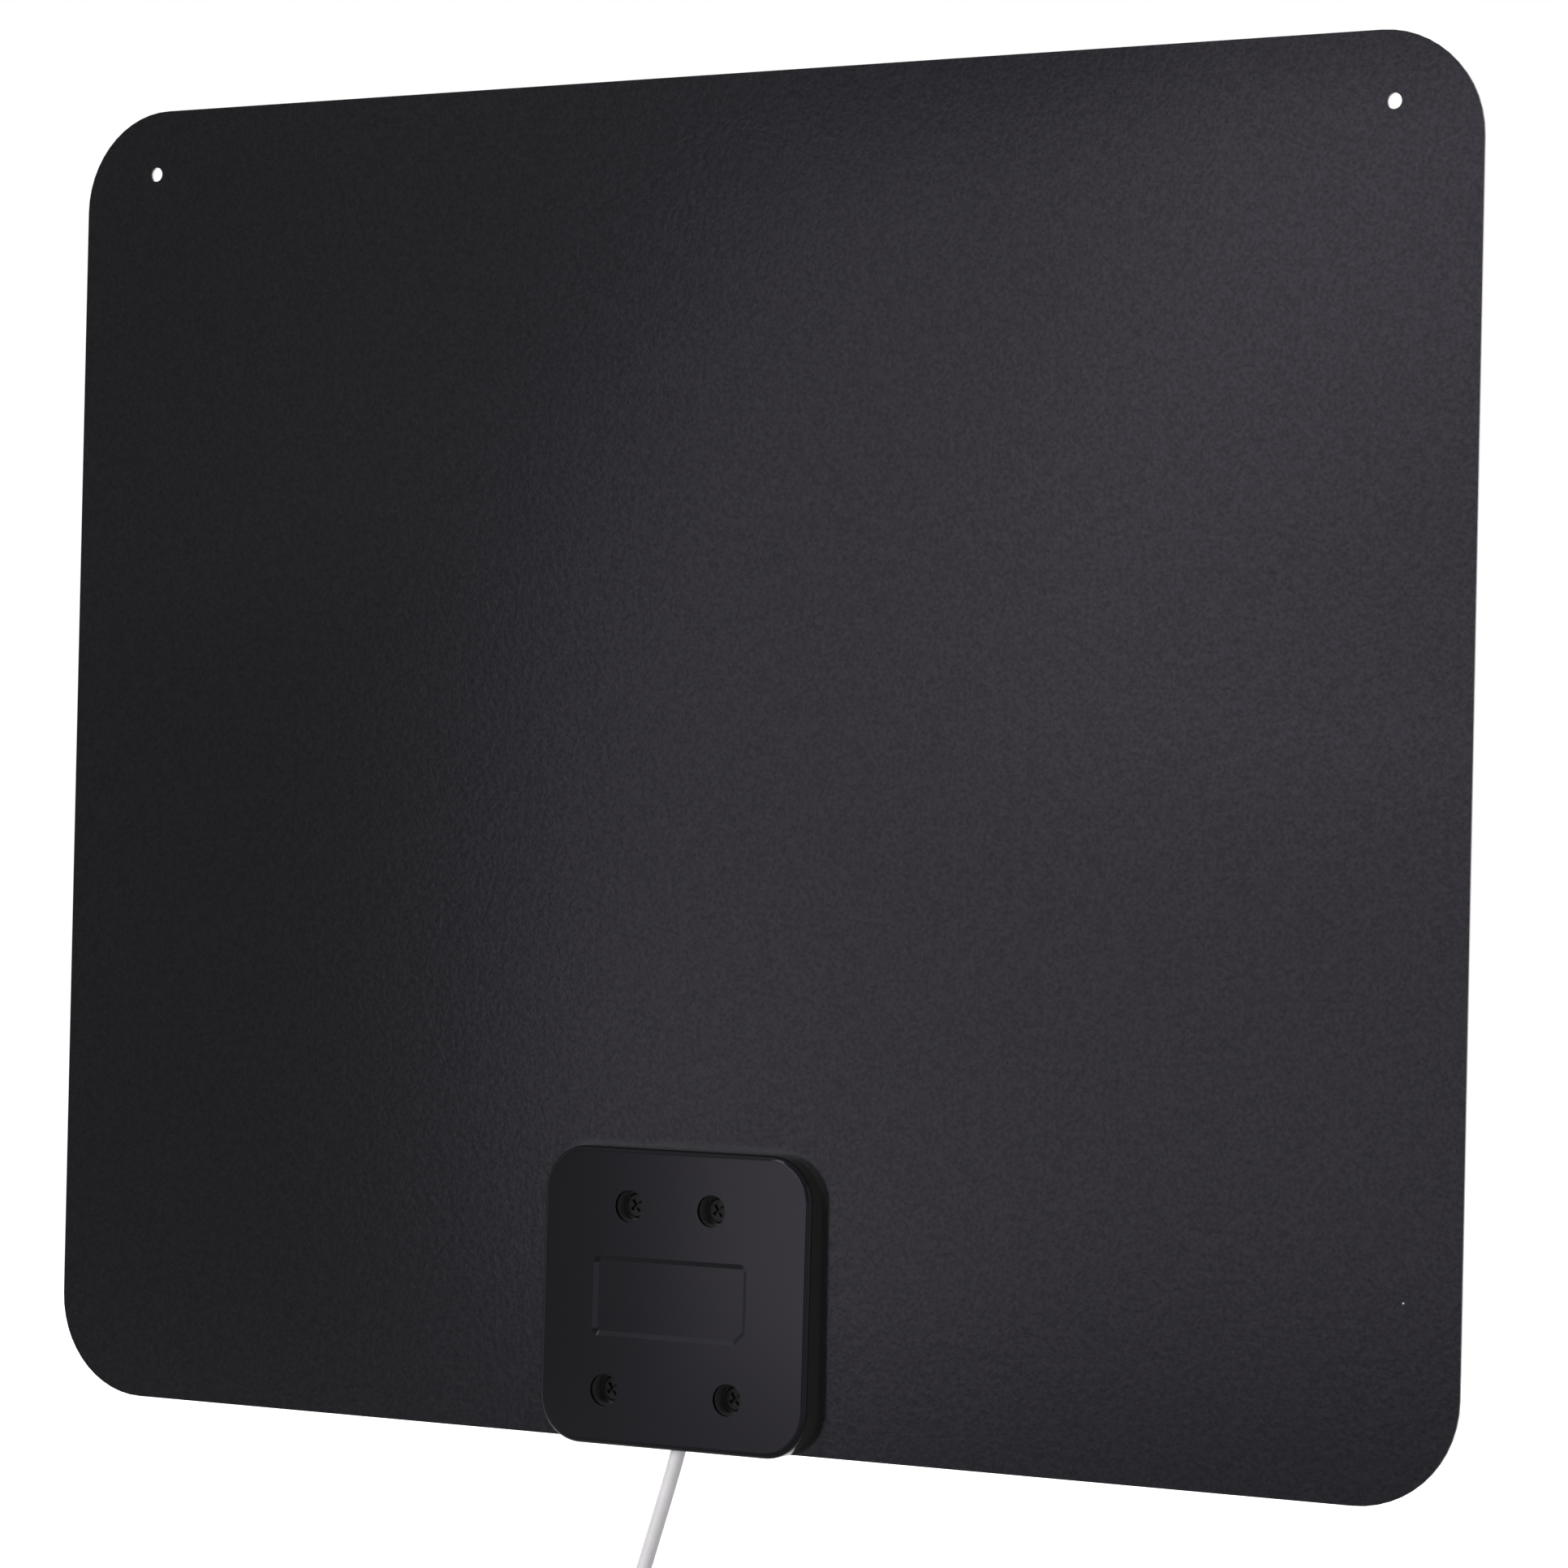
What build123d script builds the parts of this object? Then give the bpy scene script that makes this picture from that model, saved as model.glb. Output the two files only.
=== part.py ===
from build123d import *
import os
from math import hypot, radians, tan

# Flat indoor television antenna, in millimetres. A laminated sheet with foil elements inside hangs
# by two small holes. A two-part box near the middle of its lower edge clamps the sheet, holds the
# matching transformer and lets out a thin coaxial cable that ends in a screw-on plug.
# X runs across the sheet, -Y points out of the black side, Z points up, and the origin lies midway
# between the two hanging holes, where the two films meet.

os.makedirs("parts", exist_ok=True)

# Sheet
SHEET_WIDTH = 340.0
SHEET_HEIGHT = 290.0
SHEET_CORNER_RADIUS = 22.0
FILM_THICKNESS = 0.42
HANGING_HOLE_TO_SIDE = 19.0
HANGING_HOLE_TO_TOP = 14.2
HANGING_HOLE_DIAMETER = 3.2

# Foil elements
FOIL_THICKNESS = 0.1
FOIL_STRIP_WIDTH = 14.0
FOIL_FEED_GAP = 4.0
FOIL_SIDE_MARGIN = 14.0
FOIL_TOP_MARGIN = 34.0
FOIL_BELOW_RIVETS = 7.0
FOIL_CORNER_RADIUS = 6.0
FOIL_SCREW_CLEARANCE = 0.8

# Box covers
COVER_WIDTH = 65.4
COVER_HEIGHT = 63.1
COVER_CORNER_RADIUS = 10.0
COVER_X = -5.4
COVER_BELOW_SHEET = 0.7
COVER_WALL = 1.2
COVER_EDGE_FILLET = 1.3
SCREW_COVER_TOP_DEPTH = 4.6
SCREW_COVER_BOTTOM_DEPTH = 5.4
PLAIN_COVER_DEPTH = 5.5
LIP_CLEARANCE = 0.1

# Label recess in the screw cover
LABEL_WIDTH = 37.6
LABEL_HEIGHT = 17.0
LABEL_X = -1.0
LABEL_Z = 0.0
LABEL_DEPTH = 0.6
LABEL_WALL_TAPER = 60.0
LABEL_CORNER_RADIUS = 1.6
LABEL_CHAMFER = 2.6

# Cover screws and their seats
SCREWS_X = -1.3
TOP_SCREW_SPACING = 20.2
TOP_SCREW_Z = 19.2
BOTTOM_SCREW_SPACING = 30.2
BOTTOM_SCREW_Z = -19.95
SCREW_RECESS_DIAMETER = 6.8
SCREW_RECESS_FLOOR = 0.6
SCREW_POST_WALL = 1.2
SCREW_BOSS_DIAMETER = 6.4
SCREW_DIAMETER = 2.6
SCREW_LENGTH = 5.0
SCREW_TIP = 1.0
SCREW_HEAD_DIAMETER = 5.4
SCREW_HEAD_HEIGHT = 1.0
SCREW_HEAD_CHAMFER = 0.45
SCREW_CLEARANCE = 0.25
SCREW_PILOT_CLEARANCE = 0.05
SCREW_PILOT_EXTRA = 0.5
CROSS_LENGTH = 3.0
CROSS_WIDTH = 0.7
CROSS_DEPTH = 0.7
CROSS_TURN = 35.0

# Circuit board and what is on it
BOARD_WIDTH = 26.0
BOARD_HEIGHT = 20.0
BOARD_THICKNESS = 1.0
BOARD_Z = 0.4
BOARD_CORNER_RADIUS = 1.0
RIVET_SPACING = 18.0
RIVET_Z = 5.0
RIVET_DIAMETER = 1.8
RIVET_HEAD_DIAMETER = 3.4
RIVET_HEAD_HEIGHT = 0.4
RIVET_CLEARANCE = 0.05
CORE_WIDTH = 7.0
CORE_LENGTH = 5.0
CORE_HEIGHT = 2.5
CORE_ROUNDING = 1.0
CORE_Z = 2.0
CORE_HOLE_DIAMETER = 1.4
CORE_HOLE_SPACING = 3.2
WIRE_DIAMETER = 0.35
WIRE_SPACING = 0.6
WIRE_LOOP_OVERHANG = 0.7
WIRE_END_OVERHANG = 1.6
CAPACITOR_LENGTH = 1.6
CAPACITOR_WIDTH = 0.8
CAPACITOR_SPACING = 15.0
CAPACITOR_Z = -5.0

# Cable inside the box
CABLE_DIAMETER = 3.2
CABLE_OFF_SHEET = 2.05
CABLE_NOTCH_CLEARANCE = 0.4
CABLE_BEND_SHARE = 0.45
CABLE_STOP_WALL = 0.3
CABLE_STOP_LENGTH = 2.4
CABLE_STOP_CLEARANCE = 0.05
CABLE_CORE_DIAMETER = 1.5
CABLE_CORE_LENGTH = 3.0
CONDUCTOR_DIAMETER = 0.5
PIGTAIL_DIAMETER = 0.7
PIGTAIL_OFFSET = 1.2
LANDING_LENGTH = 1.6
LANDING_BEND = 0.6

# Coil of put-away cable
COIL_OUTER_TURN_RADIUS = 23.6
COIL_TURNS_DEEP = 3
COIL_LAYERS = 4
COIL_SWELL = 0.9
COIL_EDGE_CHAMFER = 0.9
COIL_X = 6.6
COIL_FRONT_Y = -8.0
COIL_BELOW_SHEET = 60.0
TIE_WIDTH = 5.0
TIE_THICKNESS = 0.8
TIE_CLEARANCE = 0.4

# Screw-on plug
SLEEVE_LENGTH = 17.0
SLEEVE_TOP_DIAMETER = 5.0
SLEEVE_BOTTOM_DIAMETER = 9.0
SLEEVE_GRIP_LENGTH = 8.0
SLEEVE_CHAMFER = 0.6
SLEEVE_GROOVES = 3
SLEEVE_GROOVE_WIDTH = 0.9
SLEEVE_GROOVE_DEPTH = 0.5
BARREL_DIAMETER = 6.4
BARREL_LENGTH = 9.0
NECK_DIAMETER = 6.0
FLANGE_DIAMETER = 8.0
FLANGE_THICKNESS = 1.0
NUT_ACROSS_FLATS = 11.0
NUT_LENGTH = 10.5
NUT_LIP = 1.6
NUT_BORE_DIAMETER = 8.8
NUT_CHAMFER = 0.6
NUT_CLEARANCE = 0.25
INSULATOR_DIAMETER = 4.4
INSULATOR_LENGTH = 4.0
INSULATOR_CLEARANCE = 0.05
PIN_DIAMETER = 0.8
PIN_PAST_NUT = 1.5
PIN_SEAT_DEPTH = 3.0

# Places that follow from these sizes
SHEET_TOP_Z = HANGING_HOLE_TO_TOP
SHEET_BOTTOM_Z = SHEET_TOP_Z - SHEET_HEIGHT
SHEET_CENTRE_Z = SHEET_TOP_Z - SHEET_HEIGHT / 2
COVER_BOTTOM_Z = SHEET_BOTTOM_Z - COVER_BELOW_SHEET
COVER_Z = COVER_BOTTOM_Z + COVER_HEIGHT / 2
COVER_SLOPE = (SCREW_COVER_BOTTOM_DEPTH - SCREW_COVER_TOP_DEPTH) / COVER_HEIGHT
HANGING_HOLE_SPACING = SHEET_WIDTH - 2 * HANGING_HOLE_TO_SIDE
HANGING_HOLES = [(side * HANGING_HOLE_SPACING / 2, 0) for side in (-1, 1)]
SCREW_POINTS = [
    (COVER_X + SCREWS_X + side * spacing / 2, COVER_Z + height)
    for spacing, height in ((TOP_SCREW_SPACING, TOP_SCREW_Z), (BOTTOM_SCREW_SPACING, BOTTOM_SCREW_Z))
    for side in (-1, 1)
]
RIVET_POINTS = [(COVER_X + side * RIVET_SPACING / 2, COVER_Z + RIVET_Z) for side in (-1, 1)]
CAPACITOR_POINTS = [(COVER_X + side * CAPACITOR_SPACING / 2, COVER_Z + CAPACITOR_Z) for side in (-1, 1)]
BLACK_FACE = Plane.XZ.offset(FILM_THICKNESS)
WHITE_FACE = Plane.XZ.offset(-FILM_THICKNESS)
BOARD_TOP_Y = -FILM_THICKNESS - BOARD_THICKNESS
BOARD_TOP = Plane.XZ.offset(-BOARD_TOP_Y)
BOARD_LOWER_Z = COVER_Z + BOARD_Z - BOARD_HEIGHT / 2
CABLE_Y = -FILM_THICKNESS - CABLE_OFF_SHEET


def cover_depth(z):
    """How far the sloping face of the screw cover stands off the black face at height z."""
    return SCREW_COVER_BOTTOM_DEPTH - COVER_SLOPE * (z - COVER_BOTTOM_Z)


FACE_PLANE = Plane(
    origin=(COVER_X, -FILM_THICKNESS - cover_depth(COVER_Z), COVER_Z),
    x_dir=(1, 0, 0),
    z_dir=(0, -1, COVER_SLOPE),
)

# Cable route from the board to the coil and from the coil to the plug, chosen by hand
LEAD_ROUTE = [
    (-3.0, CABLE_Y, SHEET_BOTTOM_Z + 12.0),
    (-3.0, CABLE_Y, SHEET_BOTTOM_Z + 6.5),
    (-5.7, CABLE_Y, SHEET_BOTTOM_Z - 4.0),
    (-10.5, CABLE_Y - 1.15, SHEET_BOTTOM_Z - 21.0),
    (-14.7, CABLE_Y - 3.3, SHEET_BOTTOM_Z - 38.0),
    (-16.9, CABLE_Y - 5.35, SHEET_BOTTOM_Z - 53.0),
]
TAIL_ROUTE = [
    (-16.9, 1.6, SHEET_BOTTOM_Z - 67.0),
    (-16.5, 1.6, SHEET_BOTTOM_Z - 78.0),
    (-15.2, 1.4, SHEET_BOTTOM_Z - 90.0),
    (-15.2, 1.4, SHEET_BOTTOM_Z - 101.0),
]


def lead_point(z):
    """The point at height z on the straight run that takes the cable out of the box."""
    upper = Vector(*LEAD_ROUTE[1])
    lower = Vector(*LEAD_ROUTE[2])
    return upper + (lower - upper) * ((upper.Z - z) / (upper.Z - lower.Z))


def draw_rounded(width, height, radius, centre):
    """A rounded rectangle in the current sketch."""
    with Locations(centre):
        RectangleRounded(width, height, radius)


def draw_holes(points, diameter):
    """Round holes in the current sketch."""
    with Locations(*points):
        Circle(diameter / 2, mode=Mode.SUBTRACT)


def draw_film():
    """The sheet's outline with its hanging, screw and rivet holes, in the current sketch."""
    draw_rounded(SHEET_WIDTH, SHEET_HEIGHT, SHEET_CORNER_RADIUS, (0, SHEET_CENTRE_Z))
    draw_holes(HANGING_HOLES, HANGING_HOLE_DIAMETER)
    draw_holes(SCREW_POINTS, SCREW_DIAMETER + 2 * SCREW_CLEARANCE)
    draw_holes(RIVET_POINTS, RIVET_DIAMETER + 2 * RIVET_CLEARANCE)


def draw_element(side):
    """One loop of foil, left (-1) or right (1) of the box, with its holes, in the current sketch."""
    inner_x = COVER_X + side * FOIL_FEED_GAP / 2
    outer_x = side * (SHEET_WIDTH / 2 - FOIL_SIDE_MARGIN)
    bottom_z = COVER_Z + RIVET_Z - FOIL_BELOW_RIVETS
    width = abs(outer_x - inner_x)
    height = SHEET_TOP_Z - FOIL_TOP_MARGIN - bottom_z
    centre = ((inner_x + outer_x) / 2, bottom_z + height / 2)
    draw_rounded(width, height, FOIL_CORNER_RADIUS, centre)
    with Locations(centre):
        Rectangle(width - 2 * FOIL_STRIP_WIDTH, height - 2 * FOIL_STRIP_WIDTH, mode=Mode.SUBTRACT)
    draw_holes(SCREW_POINTS, SCREW_DIAMETER + 2 * (SCREW_CLEARANCE + FOIL_SCREW_CLEARANCE))
    draw_holes(RIVET_POINTS, RIVET_DIAMETER + 2 * RIVET_CLEARANCE)


def draw_cover():
    """The outline that both box covers share, in the current sketch."""
    draw_rounded(COVER_WIDTH, COVER_HEIGHT, COVER_CORNER_RADIUS, (COVER_X, COVER_Z))


def save(builder, name):
    """Label a finished piece and write it to its file."""
    builder.part.label = name
    export_step(builder.part, f"parts/{name}.step")


def bend_radii(points):
    """For each corner of a cable route, the arc that takes up its share of the shorter run."""
    corners = [Vector(*point) for point in points]
    radii = []
    for before, corner, after in zip(corners, corners[1:], corners[2:]):
        turn = (corner - before).get_angle(after - corner)
        shorter = min((corner - before).length, (after - corner).length)
        radii.append(CABLE_BEND_SHARE * shorter / tan(radians(turn) / 2))
    return radii


# Black film
with BuildPart() as black_film:
    with BuildSketch(Plane.XZ):
        draw_film()
    extrude(amount=FILM_THICKNESS)
save(black_film, "black_film")

# White film, with the beds that the foil lies in
with BuildPart() as white_film:
    with BuildSketch(Plane.XZ):
        draw_film()
    extrude(amount=-FILM_THICKNESS)
    for side in (-1, 1):
        with BuildSketch(Plane.XZ):
            draw_element(side)
        extrude(amount=-FOIL_THICKNESS, mode=Mode.SUBTRACT)
save(white_film, "white_film")

# Foil elements
for side, name in ((-1, "left_element"), (1, "right_element")):
    with BuildPart() as element:
        with BuildSketch(Plane.XZ):
            draw_element(side)
        extrude(amount=-FOIL_THICKNESS)
    save(element, name)

# Screw cover: a shell with a sloping face, open towards the sheet
FACE_LIMIT = FILM_THICKNESS + SCREW_COVER_TOP_DEPTH + SCREW_COVER_BOTTOM_DEPTH
SCREW_SEAT_Y = -FILM_THICKNESS - SCREW_RECESS_FLOOR
NOTCH_WIDTH = CABLE_DIAMETER + 2 * CABLE_NOTCH_CLEARANCE
NOTCH_X = lead_point(COVER_BOTTOM_Z + COVER_WALL / 2).X
with BuildPart() as screw_cover:
    with BuildSketch(BLACK_FACE):
        draw_cover()
    extrude(amount=FACE_LIMIT)
    split(bisect_by=FACE_PLANE, keep=Keep.BOTTOM)
    offset(amount=-COVER_WALL, openings=screw_cover.faces().sort_by(Axis.Y)[-1])
    fillet(screw_cover.faces().sort_by(Axis.Y)[0].edges(), COVER_EDGE_FILLET)
    for x, z in SCREW_POINTS:
        with BuildSketch(BLACK_FACE):
            with Locations((x, z)):
                Circle(SCREW_RECESS_DIAMETER / 2 + SCREW_POST_WALL)
        extrude(amount=cover_depth(z) - COVER_WALL / 2)
    with Locations(*[Plane((x, -FACE_LIMIT, z), z_dir=(0, -1, 0)) for x, z in SCREW_POINTS]):
        CounterBoreHole(
            radius=SCREW_DIAMETER / 2 + SCREW_CLEARANCE,
            counter_bore_radius=SCREW_RECESS_DIAMETER / 2,
            counter_bore_depth=FACE_LIMIT + SCREW_SEAT_Y,
            depth=FACE_LIMIT,
        )
    with BuildSketch(FACE_PLANE) as label_bed:
        with Locations((LABEL_X, LABEL_Z)):
            Rectangle(LABEL_WIDTH, LABEL_HEIGHT)
        lower_right = label_bed.vertices().sort_by(Axis.X)[-2:].sort_by(Axis.Y)[0]
        fillet(label_bed.vertices() - [lower_right], LABEL_CORNER_RADIUS)
        chamfer(label_bed.vertices().group_by(Axis.Y)[0].sort_by(Axis.X)[-1], LABEL_CHAMFER)
    extrude(amount=-LABEL_DEPTH, taper=LABEL_WALL_TAPER, mode=Mode.SUBTRACT)
    with BuildSketch(Plane.XY.offset(COVER_BOTTOM_Z - COVER_WALL)):
        with Locations((NOTCH_X, CABLE_Y)):
            Circle(NOTCH_WIDTH / 2)
        with Locations((NOTCH_X, CABLE_Y / 2)):
            Rectangle(NOTCH_WIDTH, -CABLE_Y)
    extrude(amount=3 * COVER_WALL, mode=Mode.SUBTRACT)
save(screw_cover, "screw_cover")

# Plain cover: the other half of the box, with the screw bosses and a lip under the sheet's edge
PILOT_DEPTH = SCREW_LENGTH - SCREW_RECESS_FLOOR - 2 * FILM_THICKNESS + SCREW_PILOT_EXTRA
LIP_HEIGHT = COVER_BELOW_SHEET - LIP_CLEARANCE
with BuildPart() as plain_cover:
    with BuildSketch(WHITE_FACE):
        draw_cover()
    extrude(amount=-PLAIN_COVER_DEPTH)
    offset(amount=-COVER_WALL, openings=plain_cover.faces().sort_by(Axis.Y)[0])
    fillet(plain_cover.faces().sort_by(Axis.Y)[-1].edges(), COVER_EDGE_FILLET)
    with BuildSketch(WHITE_FACE):
        with Locations(*SCREW_POINTS):
            Circle(SCREW_BOSS_DIAMETER / 2)
    extrude(amount=-(PLAIN_COVER_DEPTH - COVER_WALL / 2))
    with BuildSketch(WHITE_FACE):
        with Locations(*SCREW_POINTS):
            Circle(SCREW_DIAMETER / 2 + SCREW_PILOT_CLEARANCE)
    extrude(amount=-PILOT_DEPTH, mode=Mode.SUBTRACT)
    with BuildSketch(BLACK_FACE):
        draw_cover()
        with Locations((COVER_X, COVER_BOTTOM_Z + LIP_HEIGHT / 2)):
            Rectangle(COVER_WIDTH, LIP_HEIGHT, mode=Mode.INTERSECT)
    extrude(amount=-2 * FILM_THICKNESS)
save(plain_cover, "plain_cover")

# Cover screws
with BuildPart() as cover_screws:
    for x, z in SCREW_POINTS:
        seat = Plane((x, SCREW_SEAT_Y, z), x_dir=(1, 0, 0), z_dir=(0, 0, 1))
        with BuildSketch(seat):
            Polygon(
                (0, -SCREW_HEAD_HEIGHT),
                (SCREW_HEAD_DIAMETER / 2, -SCREW_HEAD_HEIGHT),
                (SCREW_HEAD_DIAMETER / 2, 0),
                (SCREW_DIAMETER / 2, 0),
                (SCREW_DIAMETER / 2, SCREW_LENGTH - SCREW_TIP),
                (0, SCREW_LENGTH),
                align=None,
            )
        revolve(axis=Axis((x, 0, z), (0, 1, 0)))
    chamfer(cover_screws.edges().filter_by(GeomType.CIRCLE).group_by(Axis.Y)[0], SCREW_HEAD_CHAMFER)
    head_tops = [Plane((x, SCREW_SEAT_Y - SCREW_HEAD_HEIGHT, z), z_dir=(0, -1, 0)) for x, z in SCREW_POINTS]
    for head_top in head_tops:
        with BuildSketch(head_top):
            for turn in (CROSS_TURN, CROSS_TURN + 90):
                Rectangle(CROSS_LENGTH, CROSS_WIDTH, rotation=turn)
        extrude(amount=-CROSS_DEPTH, mode=Mode.SUBTRACT)
save(cover_screws, "cover_screws")

# Circuit board, riveted flat on the black face
with BuildPart() as circuit_board:
    with BuildSketch(BLACK_FACE):
        draw_rounded(BOARD_WIDTH, BOARD_HEIGHT, BOARD_CORNER_RADIUS, (COVER_X, COVER_Z + BOARD_Z))
        draw_holes(RIVET_POINTS, RIVET_DIAMETER + 2 * RIVET_CLEARANCE)
    extrude(amount=BOARD_THICKNESS)
save(circuit_board, "circuit_board")

# Contact rivets through board, films and foil
with BuildPart() as contact_rivets:
    for x, z in RIVET_POINTS:
        with BuildSketch(Plane((x, 0, z), x_dir=(1, 0, 0), z_dir=(0, 0, 1))):
            Polygon(
                (0, BOARD_TOP_Y - RIVET_HEAD_HEIGHT),
                (RIVET_HEAD_DIAMETER / 2, BOARD_TOP_Y - RIVET_HEAD_HEIGHT),
                (RIVET_HEAD_DIAMETER / 2, BOARD_TOP_Y),
                (RIVET_DIAMETER / 2, BOARD_TOP_Y),
                (RIVET_DIAMETER / 2, FILM_THICKNESS),
                (RIVET_HEAD_DIAMETER / 2, FILM_THICKNESS),
                (RIVET_HEAD_DIAMETER / 2, FILM_THICKNESS + RIVET_HEAD_HEIGHT),
                (0, FILM_THICKNESS + RIVET_HEAD_HEIGHT),
                align=None,
            )
        revolve(axis=Axis((x, 0, z), (0, 1, 0)))
save(contact_rivets, "contact_rivets")

# Two-hole ferrite core on the board
CORE_MIDDLE_Y = BOARD_TOP_Y - CORE_HEIGHT / 2
with BuildPart() as balun_core:
    with BuildSketch(Plane.XY.offset(COVER_Z + CORE_Z - CORE_LENGTH / 2)):
        draw_rounded(CORE_WIDTH, CORE_HEIGHT, CORE_ROUNDING, (COVER_X, CORE_MIDDLE_Y))
        holes = [(COVER_X + side * CORE_HOLE_SPACING / 2, CORE_MIDDLE_Y) for side in (-1, 1)]
        draw_holes(holes, CORE_HOLE_DIAMETER)
    extrude(amount=CORE_LENGTH)
save(balun_core, "balun_core")

# Windings: each goes up one hole and down the other, with both ends bent down to the board
for toward, name in ((-1, "primary_winding"), (1, "secondary_winding")):
    core_middle_z = COVER_Z + CORE_Z
    near_z = core_middle_z + toward * (CORE_LENGTH / 2 + WIRE_END_OVERHANG)
    far_z = core_middle_z - toward * (CORE_LENGTH / 2 + WIRE_LOOP_OVERHANG)
    wire_y = CORE_MIDDLE_Y + toward * WIRE_SPACING / 2
    left_x = COVER_X - CORE_HOLE_SPACING / 2
    right_x = COVER_X + CORE_HOLE_SPACING / 2
    with BuildPart() as winding:
        with BuildLine() as path:
            Polyline(
                (left_x, BOARD_TOP_Y, near_z),
                (left_x, wire_y, near_z),
                (left_x, wire_y, far_z),
                (right_x, wire_y, far_z),
                (right_x, wire_y, near_z),
                (right_x, BOARD_TOP_Y, near_z),
            )
        with BuildSketch(Plane((left_x, BOARD_TOP_Y, near_z), z_dir=(0, -1, 0))):
            Circle(WIRE_DIAMETER / 2)
        sweep(path=path.wires()[0], transition=Transition.RIGHT)
    save(winding, name)

# Chip capacitors on the board
with BuildPart() as chip_capacitors:
    with BuildSketch(BOARD_TOP):
        with Locations(*CAPACITOR_POINTS):
            Rectangle(CAPACITOR_LENGTH, CAPACITOR_WIDTH)
    extrude(amount=CAPACITOR_WIDTH)
save(chip_capacitors, "chip_capacitors")

# Ring crimped round the cable, square to it, just behind the bottom wall of the box
STOP_RADIUS = CABLE_DIAMETER / 2 + CABLE_STOP_CLEARANCE + CABLE_STOP_WALL
LEAN = Vector(*LEAD_ROUTE[1]) - Vector(*LEAD_ROUTE[2])
STOP_TILT = STOP_RADIUS * hypot(LEAN.X, LEAN.Y) / LEAN.length
STOP_BASE = lead_point(COVER_BOTTOM_Z + COVER_WALL + STOP_TILT + CABLE_STOP_CLEARANCE)
with BuildPart() as cable_stop:
    with BuildSketch(Plane(STOP_BASE, z_dir=LEAN)):
        Circle(STOP_RADIUS)
        Circle(STOP_RADIUS - CABLE_STOP_WALL, mode=Mode.SUBTRACT)
    extrude(amount=CABLE_STOP_LENGTH)
save(cable_stop, "cable_stop")

# Stripped end of the cable: inner insulation, centre conductor and twisted shield
JACKET_END = Vector(*LEAD_ROUTE[0])
CORE_END_Z = JACKET_END.Z + CABLE_CORE_LENGTH
with BuildPart() as cable_core:
    with BuildSketch(Plane.XY.offset(JACKET_END.Z)):
        with Locations((JACKET_END.X, CABLE_Y)):
            Circle(CABLE_CORE_DIAMETER / 2)
    extrude(amount=CABLE_CORE_LENGTH)
save(cable_core, "cable_core")


def landing(x, start_z, diameter):
    """The wire from the stripped cable to its pad on the board, in a block of its own."""
    pad_y = BOARD_TOP_Y - diameter / 2
    pad_z = max(BOARD_LOWER_Z, start_z) + LANDING_LENGTH
    points = [
        (x, CABLE_Y, start_z),
        (x, CABLE_Y, start_z + LANDING_LENGTH / 2),
        (x, pad_y, pad_z),
        (x, pad_y, pad_z + LANDING_LENGTH),
    ]
    with BuildPart() as wire:
        with BuildLine() as path:
            FilletPolyline(*points, radius=LANDING_BEND)
        with BuildSketch(Plane.XY.offset(start_z)):
            with Locations((x, CABLE_Y)):
                Circle(diameter / 2)
        sweep(path=path.wires()[0])
    return wire


save(landing(JACKET_END.X, CORE_END_Z, CONDUCTOR_DIAMETER), "centre_conductor")
save(landing(JACKET_END.X + PIGTAIL_OFFSET, JACKET_END.Z, PIGTAIL_DIAMETER), "shield_pigtail")

# Cable stretches that aren't coiled
for name, route in (("coax_lead", LEAD_ROUTE), ("coax_tail", TAIL_ROUTE)):
    radii = bend_radii(route)
    start = Vector(*route[0])
    with BuildPart() as stretch:
        with BuildLine() as path:
            FilletPolyline(*route, radius=radii)
        with BuildSketch(Plane(start, z_dir=Vector(*route[1]) - start)):
            Circle(CABLE_DIAMETER / 2)
        sweep(path=path.wires()[0])
    save(stretch, name)
    length = path.wires()[0].length
    section = Circle(CABLE_DIAMETER / 2, mode=Mode.PRIVATE).area
    print(name, "radii", [round(radius, 1) for radius in radii], "length", round(length, 1))
    print(name, "volume", round(stretch.part.volume, 1), "section times length", round(section * length, 1))

# Coil: the outer shape of its turns
COIL_Z = SHEET_BOTTOM_Z - COIL_BELOW_SHEET
COIL_OUTER_RADIUS = COIL_OUTER_TURN_RADIUS + COIL_SWELL + CABLE_DIAMETER / 2
COIL_BUNDLE = (COIL_TURNS_DEEP + 1) * CABLE_DIAMETER + 2 * COIL_SWELL
COIL_DEPTH = COIL_LAYERS * CABLE_DIAMETER
COIL_MIDDLE_Y = COIL_FRONT_Y + (COIL_DEPTH - CABLE_DIAMETER) / 2
COIL_SECTION_CENTRE = (COIL_X + COIL_OUTER_RADIUS - COIL_BUNDLE / 2, COIL_MIDDLE_Y)
with BuildPart() as coax_coil:
    with BuildSketch(Plane.XY.offset(COIL_Z)) as coil_section:
        with Locations(COIL_SECTION_CENTRE):
            Rectangle(COIL_BUNDLE, COIL_DEPTH)
        chamfer(coil_section.vertices(), COIL_EDGE_CHAMFER)
    revolve(axis=Axis((COIL_X, 0, COIL_Z), (0, 1, 0)))
save(coax_coil, "coax_coil")

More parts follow.
